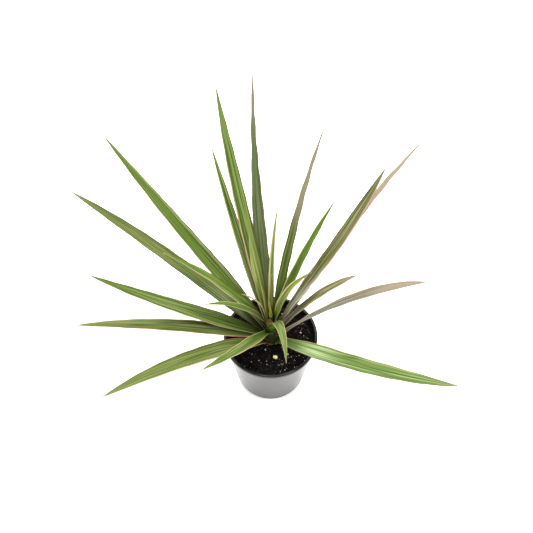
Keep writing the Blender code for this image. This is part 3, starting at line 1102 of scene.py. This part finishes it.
@dataclass
class Cane:
    """The short cane: it tapers into the crown and is ringed by old leaf scars.

    Dry sheaths stand round its foot and young ones wrap its top. Each kind starts at a
    share of a full turn, and strays and spreads, half a sheath's angle, are in radians.
    """

    soil: Soil
    radius: float = 6.4 * MM
    top_radius: float = 2.6 * MM
    height: float = 50 * MM
    root: float = 26 * MM
    scar_step: float = 4 * MM
    scar_depth: float = 0.35 * MM
    steps: int = 260
    sides: int = 72
    green_from: Range = (3 * MM, 12 * MM)
    seed: int = 5
    sheath_columns: int = 9
    sheath_rows: int = 12
    sheath_thickness: float = 0.35 * MM
    sheath_gap: float = 0.25 * MM
    sheath_crease: float = 0.3 * MM
    dry_sheaths: int = 9
    dry_start: float = 0.70
    dry_stray: float = 0.2
    dry_lifts: Range = (-1.5 * MM, 1.0 * MM)
    dry_lengths: Range = (4.4 * MM, 8.25 * MM)
    dry_leans: Range = (2.0 * MM, 5.5 * MM)
    dry_spreads: Range = (0.45, 0.8)
    young_sheaths: int = 8
    young_start: float = 0.80
    young_from: float = 24 * MM
    young_step: float = 2.6 * MM
    young_lengths: Range = (16.8 * MM, 23.1 * MM)
    young_lean: float = 1.5 * MM
    young_spread: float = 1.3
    bark: CaneFinish = CaneFinish()
    dry: DryFinish = DryFinish()
    young: tuple[SheathFinish, ...] = (
        SheathFinish((0.022, 0.060, 0.002), (0.110, 0.165, 0.010)),
        SheathFinish((0.060, 0.105, 0.004), (0.240, 0.290, 0.040)),
        SheathFinish((0.090, 0.090, 0.006), (0.260, 0.150, 0.030)),
    )

    def radius_at(self, height: Any) -> Any:
        """Radius at a height above the soil: a taper with the power 1.2 of the share."""
        share = np.clip(height / self.height, 0, 1)
        return self.radius - (self.radius - self.top_radius) * share**1.2

    def profile(self) -> Profile:
        """The cane in section, with a step-like groove under each scar.

        The groove's depth falls from full at a scar to nothing over one scar step, as a
        saw tooth with its corner rounded by a fourth power.

        Returns:
            Points of (radius, height), from the top down to the root.
        """
        height = np.linspace(self.height, 0, self.steps)
        tooth = 1 - np.mod(height, self.scar_step) / self.scar_step
        radius = self.radius_at(height) - self.scar_depth * tooth**4
        level, root = self.soil.level, self.soil.level - self.root
        above = list(zip(radius.tolist(), (level + height).tolist()))
        below = [(self.radius, level - self.root * 0.8), (self.radius * 0.7, root), (0, root)]
        return [(0, level + self.height)] + above + below

    def _sheath(
        self, name: str, slot: str, azimuth: float, lift: float, length: float, lean: float, spread: float
    ) -> bpy.types.Object:
        """Makes one torn sheath: a pointed scale that hugs the cane and leans out at its top.

        A point at (u, v) lies round the cane at the azimuth plus u times the spread,
        which closes with the power 1.5 of v. Its radius is the cane's plus a gap, lean
        times v^2 and a crease, a sine of u and v. It is v times the length up, a little
        less at the edges, and the scale thins towards its edges and its tip.

        Args:
            name: The piece's name.
            slot: Not used.
            azimuth: Heading of its middle, in radians.
            lift: Height of its foot above the soil.
            length: How tall it is.
            lean: How far its tip stands off the cane.
            spread: Half its angle round the cane, in radians.

        Returns:
            The sheath.
        """
        places = np.linspace(0, 1, self.sheath_columns)
        u, v = np.meshgrid(places * 2 - 1, np.linspace(0, 1, self.sheath_rows))
        turn = azimuth + u * spread * (1 - v**1.5 * 0.96)
        off = self.sheath_gap + lean * v**2 + self.sheath_crease * np.sin(5 * u + 9 * v)
        base = self.radius_at(lift) + off
        height = self.soil.level + lift + v * length * (1 - 0.12 * u**2)
        half = self.sheath_thickness / 2 * (1 - u**2) * (1 - 0.7 * v)
        outer, inner = (
            np.stack([radius * np.cos(turn), radius * np.sin(turn), height], -1)
            for radius in (base + half, base - half)
        )
        return closed_strip(name, outer, inner, places)

    def build(self) -> None:
        """Makes the cane, its dry sheaths and the young sheaths that wrap its top."""
        cane = turned_piece("cane_dressed", self.profile(), self.sides)
        low, high = (self.soil.level + rise for rise in self.green_from)
        cane.data.materials.append(self.bark.material(low, high))
        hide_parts("stem")
        draw = np.random.default_rng(self.seed)
        dry = self.dry.material()
        for index in range(self.dry_sheaths):
            name = f"dry_sheath_{index + 1}"
            azimuth = math.tau * (index * GOLDEN_TURN + self.dry_start)
            azimuth += draw.uniform(-self.dry_stray, self.dry_stray)
            ranges = (self.dry_lifts, self.dry_lengths, self.dry_leans, self.dry_spreads)
            piece = self._sheath(name, "cane", azimuth, *(draw.uniform(*limits) for limits in ranges))
            piece.data.materials.append(dry)
        for index in range(self.young_sheaths):
            name = f"young_sheath_{index + 1}"
            azimuth = math.tau * (index * GOLDEN_TURN + self.young_start)
            lift, length = self.young_from + index * self.young_step, draw.uniform(*self.young_lengths)
            piece = self._sheath(name, "spear", azimuth, lift, length, self.young_lean, self.young_spread)
            finish = self.young[index % len(self.young)]
            piece.data.materials.append(finish.material(f"{name}_skin"))
        counts = (len(cane.data.polygons), self.dry_sheaths, self.young_sheaths)
        log.info("cane: %d faces, %d dry and %d young sheaths", *counts)


@dataclass
class Spear:
    """The youngest leaves, rolled round each other into a slim spindle."""

    cane: Cane
    radius: float = 2.2 * MM
    height: float = 27 * MM
    lean: float = 5
    azimuth: float = 130
    turns: float = 1.4
    lap: float = 0.22
    laps: int = 2
    lap_edge: float = 0.94
    rows: int = 90
    sides: int = 72
    seat_gap: float = 0.3 * MM
    skin: SpearFinish = SpearFinish()

    def points(self) -> np.ndarray:
        """The spindle's points.

        The radius at a share h of the height is R (1 - h^1.3)^0.7, less a lap that grows
        with the angle since the last leaf's edge, and that edge climbs in a spiral.

        Returns:
            The rings of points, foot first.
        """
        h, angle = np.ogrid[0 : 1 : self.rows * 1j, 0 : math.tau : (self.sides + 1) * 1j]
        angle = angle[:, :-1]
        since_edge = np.mod(angle / math.tau * self.laps + self.turns * h, 1)
        lap = 1 - self.lap * smooth(0, 1, since_edge) * (1 - smooth(self.lap_edge, 1.0, since_edge))
        radius = self.radius * np.clip(1 - h**1.3, 0, 1) ** 0.7 * lap
        z = self.height * h
        lean, heading = math.radians(self.lean), math.radians(self.azimuth)
        x = radius * np.cos(angle) + z * math.sin(lean) * math.cos(heading)
        y = radius * np.sin(angle) + z * math.sin(lean) * math.sin(heading)
        seat = self.cane.soil.level + self.cane.height + self.seat_gap + self.radius * math.sin(lean)
        return np.stack(np.broadcast_arrays(x, y, seat + z * math.cos(lean)), -1)

    def build(self) -> None:
        """Makes the spear in the place of its CAD node."""
        grid = self.points()
        foot = np.broadcast_to(grid[0].mean(0), grid[0].shape)
        piece = ring_piece("spear_dressed", np.concatenate([foot[None], grid]))
        foot_height = self.cane.soil.level + self.cane.height
        piece.data.materials.append(self.skin.material(foot_height, self.height))
        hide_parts("spear")
        log.info("spear: %d faces", len(piece.data.polygons))


# The leaves


@dataclass
class Leaf:
    """One blade, on the same middle line as its CAD node, with ribs and thin margins.

    Seat is the height of its base above the soil, and seat, length and width are in
    millimetres. Azimuth and sway are headings seen from above (0 is +X, 90 is the back),
    rise is the angle above level, and droop what it loses by the tip. Lean and twist
    turn the blade about its own length, and a larger taper keeps it broad for longer.
    The first margin is on the side where the blade's across runs from, the second on
    the other, and a margin's share is of the blade's width. The blade fades to tan from
    a share of its length on. Glow multiplies its greens, and a painted glare, a pale
    green patch that stands in for the light's shine, lies round a share of its length
    that its own field gives, as strong as its own share.
    """

    name: str
    seat: float
    azimuth: float
    length: float
    width: float
    rise: float
    droop: float
    sway: float
    lean: float
    twist: float
    taper: float
    tissue: Tissue
    first: Margin
    first_share: float
    second: Margin
    second_share: float
    faded_from: float = 0.9
    glow: float = 1.0
    # painted glare: where along the blade the pale patch for the light's shine lies, and how strong it is
    glare_at: float = 0.3
    glare_share: float = 0.0

    thickness: float = 0.62 * MM
    edge_thinning: float = 0.5
    tip_thinning: float = 0.45
    cad_thickness: float = 0.7 * MM
    gap: float = 0.3 * MM
    clasp_angle: float = 86
    clasp_length: float = 4.5 * MM
    clasp_turn: float = 1.15
    clasp_reach: float = 5 * MM
    bend_power: float = 1.6
    channel_length: float = 0.14
    channel_radius: float = 26 * MM
    neck: float = 0.5
    widen: Range = (0.02, 0.30)
    tip_width: float = 0.9 * MM
    rib_pitch: float = 1.7 * MM
    rib_columns: int = 5
    rib_height: float = 0.05 * MM
    wave: float = 0.35 * MM
    wave_length: float = 38 * MM
    ring_pitch: float = 2.4 * MM
    least_rings: int = 28
    path_steps: int = 480
    seed_step: float = 2.7

    @property
    def ribs(self) -> int:
        """How many lengthwise ribs the blade has."""
        return max(3, round(self.width * MM / self.rib_pitch))

    def columns(self) -> np.ndarray:
        """Where the columns of points lie, from -1 to 1: a sine crowds them at the edges."""
        return np.sin(np.linspace(-1, 1, self.ribs * self.rib_columns + 1) * math.pi / 2)

    def _foot_radius(self, cane: Cane) -> float:
        """How far from the cane's axis the blade's middle surface starts."""
        return cane.radius_at(self.seat * MM) + self.gap + self.cad_thickness / 2

    def middle(self, cane: Cane, share: np.ndarray) -> tuple[np.ndarray, np.ndarray, np.ndarray]:
        """The middle line, and the blade's across and up directions.

        The line leaves the cane nearly upright and relaxes to its rise as e to the power
        of minus the distance over the clasp's length. It droops and sways with the power
        1.6 of the share of the length.

        Args:
            cane: The cane that carries the leaf.
            share: Shares of the length, from 0 to 1.

        Returns:
            The points, the across directions and the up directions, one row a share.
        """
        knots = np.linspace(0, 1, self.path_steps + 1)
        length = self.length * MM
        bent = knots**self.bend_power
        rise = self.rise - self.droop * bent
        clasp = np.exp(-knots * length / self.clasp_length)
        elevation = np.radians(rise + (self.clasp_angle - rise) * clasp)
        heading = np.radians(self.azimuth + self.sway * bent)
        level = np.stack([np.cos(heading), np.sin(heading), np.zeros_like(heading)], 1)
        along = level * np.cos(elevation)[:, None]
        along[:, 2] = np.sin(elevation)
        foot = level[0] * self._foot_radius(cane) + np.array([0, 0, cane.soil.level + self.seat * MM])
        steps = (along[1:] + along[:-1]) / 2 * length / self.path_steps
        points = foot + np.concatenate([np.zeros((1, 3)), np.cumsum(steps, axis=0)])
        side = np.stack([-np.sin(heading), np.cos(heading), np.zeros_like(heading)], 1)
        up = np.cross(along, side)
        roll = self.lean * smooth(0, 0.2, knots) + self.twist * smooth(0.15, 0.85, knots)
        cos, sin = np.cos(np.radians(roll))[:, None], np.sin(np.radians(roll))[:, None]
        lines = (points, cos * side + sin * up, cos * up - sin * side)
        return tuple(np.stack([np.interp(share, knots, line[:, i]) for i in range(3)], 1) for line in lines)

    def half_width(self, cane: Cane, share: np.ndarray) -> np.ndarray:
        """Half the width: a base that clasps the cane, a neck, a broad third, a long point.

        The blade narrows to its tip as (1 - s^taper)^0.9 of the share s of its length,
        and the clasp adds a bell, e to the power of minus the square of the distance
        over the clasp's reach.

        Args:
            cane: The cane that carries the leaf.
            share: Shares of the length, from 0 to 1.

        Returns:
            Half the width at each share.
        """
        widen = self.neck + (1 - self.neck) * smooth(*self.widen, share)
        taper = np.clip(1 - share**self.taper, 0, 1) ** 0.9
        blade = np.maximum(self.width * MM / 2 * widen * taper, self.tip_width / 2)
        clasp = self.clasp_turn * cane.radius_at(self.seat * MM)
        near = np.exp(-((share * self.length * MM / self.clasp_reach) ** 2))
        return blade + np.maximum(clasp - blade, 0) * near

    def shell(self, cane: Cane) -> tuple[np.ndarray, np.ndarray]:
        """The blade's two faces.

        Across, the middle surface is an arc that hugs the cane at the base and opens to
        a shallow channel, and two sine waves lift its edges. The faces lie half the
        thickness to either side of it. The thickness falls with the square of the
        distance from the middle and closes steeply at the edges, and the upper face
        carries cosine ribs.

        Args:
            cane: The cane that carries the leaf.

        Returns:
            The upper and the under face, rows along the blade and columns across it.
        """
        rings = max(self.least_rings, round(self.length * MM / self.ring_pitch))
        share = np.linspace(0, 1, rings) ** 1.15
        across, down = self.columns(), share[:, None]
        points, side, up = self.middle(cane, share)
        open_bend = 1 / self.channel_radius
        hug = 1 / self._foot_radius(cane) - open_bend
        bend = open_bend + hug * np.exp(-down / self.channel_length)
        angle = across * self.half_width(cane, share)[:, None] * bend

        phase = self.seat * 1.7 + self.azimuth
        run = down * self.length * MM / self.wave_length * math.tau
        waves = np.sin(run + phase) * np.maximum(across, 0) ** 2
        waves = waves + np.sin(run * 1.3 + 2 * phase) * np.minimum(across, 0) ** 2
        lift = self.wave * waves * smooth(0.08, 0.3, down) * smooth(1.0, 0.8, down)
        sideways, raised = np.sin(angle) / bend, (1 - np.cos(angle)) / bend + lift

        half = self.thickness / 2 * (1 - self.edge_thinning * across**2) * (1 - self.tip_thinning * down)
        half = half * np.sqrt(np.clip(1 - across**8, 0, 1))
        ribs = self.rib_height * np.cos(across * math.pi * self.ribs) * (1 - across**2)

        def face(offset: np.ndarray) -> np.ndarray:
            """One face, at an offset from the middle surface along its normal."""
            s, r = sideways - offset * np.sin(angle), raised + offset * np.cos(angle)
            return points[:, None] + s[..., None] * side[:, None] + r[..., None] * up[:, None]

        return face(half + ribs * smooth(1.0, 0.7, down)), face(-half)

    def build(self, cane: Cane, index: int) -> None:
        """Makes the blade in the place of its CAD node.

        Args:
            cane: The cane that carries it.
            index: Its number on the plant, which varies its streaks.
        """
        top, under = self.shell(cane)
        places = (self.columns() + 1) / 2
        piece = closed_strip(f"{self.name}_blade", top, under, places)
        piece.data.materials.append(LeafFinish(self, index * self.seed_step).material())
        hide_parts(self.name)
        log.info("%s: %d faces", piece.name, len(piece.data.polygons))


# The 25 leaves from the oldest up, each in the order of Leaf's fields
T, M = Tissue, Margin
LEAVES = [
    Leaf("leaf_01", 2, 219, 231, 20, 39, 31, -2, -10, 0, 3.0, T.OLIVE, M.RUST, 0.04, M.PINK, 0.06),
    Leaf("leaf_02", 5, 319, 234, 20, 31, 18, 24, 0, 0, 4.0, T.STREAKED, M.RUST, 0.03, M.TAN, 0.03,
         glare_at=0.34, glare_share=0.7),
    Leaf("leaf_03", 4, 103, 303, 17, 66, 22, -16, 0, 60, 3.4, T.DUSKY, M.RUST, 0.03, M.TAN, 0.03,
         faded_from=0.78, glow=1.1),
    Leaf("leaf_04", 7, 192, 221, 17, 32, 20, 0, -6, 0, 3.2, T.OLIVE, M.PINK, 0.06, M.ROSE, 0.05),
    Leaf("leaf_05", 2, 8, 190, 11, 45, 52, 0, -35, 55, 6.0, T.DRY, M.TAN, 0.08, M.TAN, 0.10,
         faded_from=0.6),
    Leaf("leaf_06", 10, 184, 237, 17.5, 35, -18, 14, -15, 0, 2.6, T.GREEN, M.RUST, 0.03, M.TAN, 0.05),
    Leaf("leaf_07", 11, 5, 147, 10, 64, 23, -15, -12, 30, 6.0, T.STRIPED, M.TAN, 0.08, M.TAN, 0.10,
         faded_from=0.75),
    Leaf("leaf_08", 14, 170, 281, 17, 51, 11, -1, -10, 0, 3.6, T.OLIVE, M.RUST, 0.03, M.RUST, 0.04,
         glare_at=0.26, glare_share=0.8),
    Leaf("leaf_09", 15, 25, 292, 14, 62, 9, -4, 0, -20, 4.0, T.DRY, M.PINK, 0.08, M.PINK, 0.10,
         faded_from=0.5),
    Leaf("leaf_10", 20, 152, 289, 20, 49, -8, 4, -4, 0, 2.4, T.GREEN, M.PAINTED_FOLD, 0.07, M.PINK, 0.05),
    Leaf("leaf_11", 21, 16, 252, 14, 63, -3, 12, -20, 58, 4.2, T.STRIPED, M.ROSE, 0.10, M.RUST, 0.08,
         glare_at=0.22, glare_share=0.7),
    Leaf("leaf_12", 24, 126, 227, 12, 63, -1, -5, 0, 0, 2.8, T.GREEN, M.RUST, 0.05, M.CREAM, 0.12,
         glow=1.3),
    Leaf("leaf_13", 22, 238, 140, 14, 37, 7, -10, 0, 0, 2.4, T.GREEN, M.CREAM, 0.04, M.CREAM, 0.05,
         glow=0.85),
    Leaf("leaf_14", 25, 62, 254, 11, 73, 16, -6, 0, -35, 4.0, T.GREEN, M.RUST, 0.04, M.TAN, 0.03,
         faded_from=0.5, glow=0.9),
    Leaf("leaf_15", 27, 177, 167, 14, 64, 35, -4, -12, 0, 1.9, T.BRIGHT, M.RUST, 0.03, M.CREAM, 0.06),
    Leaf("leaf_16", 31, 119, 298, 16, 67, -14, 12, 0, 0, 3.2, T.BRIGHT, M.RUST, 0.04, M.PINK, 0.08,
         glow=1.1),
    Leaf("leaf_17", 34, 195, 108, 10, 66, 51, 9, 0, 0, 2.4, T.BRIGHT, M.PALE, 0.06, M.CREAM, 0.06,
         glow=0.75),
    Leaf("leaf_18", 34, 33, 180, 12, 73, 18, 2, 0, 0, 2.6, T.BRIGHT, M.RUST, 0.04, M.CREAM, 0.10),
    Leaf("leaf_19", 34, 287, 113, 12, 70, 87, -15, 0, 0, 2.4, T.GREEN, M.PALE, 0.04, M.CREAM, 0.05,
         glow=0.9),
    Leaf("leaf_20", 37, 140, 139, 10, 75, -11, -7, 0, 0, 2.4, T.LIME, M.CREAM, 0.10, M.CREAM, 0.12,
         glow=1.5),
    Leaf("leaf_21", 38, 352, 111, 10, 85, 38, 3, 35, 0, 2.6, T.LIME, M.PALE, 0.10, M.CREAM, 0.18),
    Leaf("leaf_22", 40, 196, 75, 6, 84, 42, 3, 0, 0, 2.4, T.LIME, M.CREAM, 0.20, M.CREAM, 0.20),
    Leaf("leaf_23", 42, 90, 162, 7, 85, 21, -23, 0, 0, 2.4, T.LIME, M.PINK, 0.20, M.CREAM, 0.26),
    Leaf("leaf_24", 44, 146, 68, 7, 84, 8, 0, 0, 0, 2.4, T.LIME, M.RUST, 0.14, M.CREAM, 0.20),
    Leaf("leaf_25", 48, 90, 72, 7, 88, 1, 0, 0, 0, 2.4, T.LIME, M.RUST, 0.16, M.CREAM, 0.18),
]


# The studio


@dataclass(frozen=True)
class Softbox:
    """A square area light that points at a place on the plant."""

    name: str
    place: tuple[float, float, float]
    size: float
    power: float
    aim: tuple[float, float, float] = (0.0, 0.0, 0.12)

    def build(self) -> None:
        """Adds the light."""
        light = bpy.data.lights.new(self.name, "AREA")
        light.shape = "SQUARE"
        light.size = self.size
        light.energy = self.power
        lamp = bpy.data.objects.new(self.name, light)
        lamp.location = self.place
        lamp.rotation_euler = (Vector(self.aim) - Vector(self.place)).to_track_quat("-Z", "Y").to_euler()
        lamp.visible_camera = False
        bpy.context.scene.collection.objects.link(lamp)


@dataclass
class Studio:
    """A pale table, soft light from above and a camera at the photograph's angle.

    The sensor's width is in millimetres.
    """

    camera_place: tuple[float, float, float] = (-4.63 * MM, -516.76 * MM, 946.3 * MM)
    look_down: float = 54.81
    focal_pixels: float = 900
    frame_pixels: float = 533
    sensor: float = 36
    table_size: float = 3.0
    table_colour: Colour = (0.93, 0.93, 0.93)
    # painted light: the table's faint glow washes out the pot's shadow
    table_painted_glow: float = 0.25
    paper_scale: float = 300.0
    paper_relief: float = 0.05 * MM
    air: float = 0.68
    boxes: tuple[Softbox, ...] = (
        Softbox("overhead_softbox", (0.0, 0.25, 1.7), 1.5, 60),
        Softbox("left_softbox", (-1.3, -0.4, 1.3), 1.0, 14),
        Softbox("right_softbox", (1.3, -0.2, 1.3), 1.0, 14),
        Softbox("window_softbox", (-0.60, 1.35, 0.52), 0.8, 16),
    )

    def _table(self) -> None:
        """Lays the pale table top under the pot, with a fine paper grain; its faint glow is
        painted light that washes out the pot's shadow.
        """
        reach = self.table_size / 2
        corners = [(-reach, -reach, 0), (reach, -reach, 0), (reach, reach, 0), (-reach, reach, 0)]
        mesh = bpy.data.meshes.new("table_top")
        mesh.from_pydata(corners, [], [(0, 1, 2, 3)])
        table = bpy.data.objects.new("table_top", mesh)
        bpy.context.scene.collection.objects.link(table)
        # painted light: emission that lifts the pot's shadow on the table to white
        glow = {"Emission Color": (1.0, 1.0, 1.0, 1.0), "Emission Strength": self.table_painted_glow}
        graph = Graph("pale_table", {"Specular IOR Level": 0.2, "Roughness": 0.8} | glow)
        grain = graph.noise(graph.place(), self.paper_scale)
        colour = graph.mix(grain, self.table_colour, tuple(c * 0.98 for c in self.table_colour))
        mesh.materials.append(graph.finish(colour, grain, self.paper_relief))

    def _camera(self) -> None:
        """Sets the camera: its focal length is its pixels times the sensor over the frame."""
        camera = bpy.data.objects.new("camera", bpy.data.cameras.new("camera"))
        camera.data.sensor_width = self.sensor
        camera.data.lens = self.focal_pixels * self.sensor / self.frame_pixels
        camera.location = self.camera_place
        camera.rotation_euler = (math.radians(90 - self.look_down), 0, 0)
        bpy.context.scene.collection.objects.link(camera)
        bpy.context.scene.camera = camera

    def _air(self) -> None:
        """Fills the room with an even pale light."""
        world = bpy.data.worlds.new("studio_air")
        world.use_nodes = True
        background = world.node_tree.nodes["Background"]
        background.inputs["Color"].default_value = (1.0, 1.0, 1.0, 1.0)
        background.inputs["Strength"].default_value = self.air
        bpy.context.scene.world = world

    def build(self) -> None:
        """Sets up the table, the lights and the camera."""
        self._table()
        self._camera()
        self._air()
        for box in self.boxes:
            box.build()
        bpy.context.scene.view_settings.view_transform = "Standard"
        log.info("studio: %d softboxes", len(self.boxes))


def main() -> None:
    """Dresses the whole plant."""
    logging.basicConfig(level=logging.INFO, format="%(name)s: %(message)s")
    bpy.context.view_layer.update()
    low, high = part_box("pot")
    pot = Pot(rim_radius=(high.x - low.x) / 2, height=high.z)
    soil = Soil(pot)
    cane = Cane(soil)
    pot.build()
    soil.build()
    cane.build()
    Spear(cane).build()
    for index, leaf in enumerate(LEAVES):
        leaf.build(cane, index)
    Studio().build()


if __name__ == "__main__":
    main()
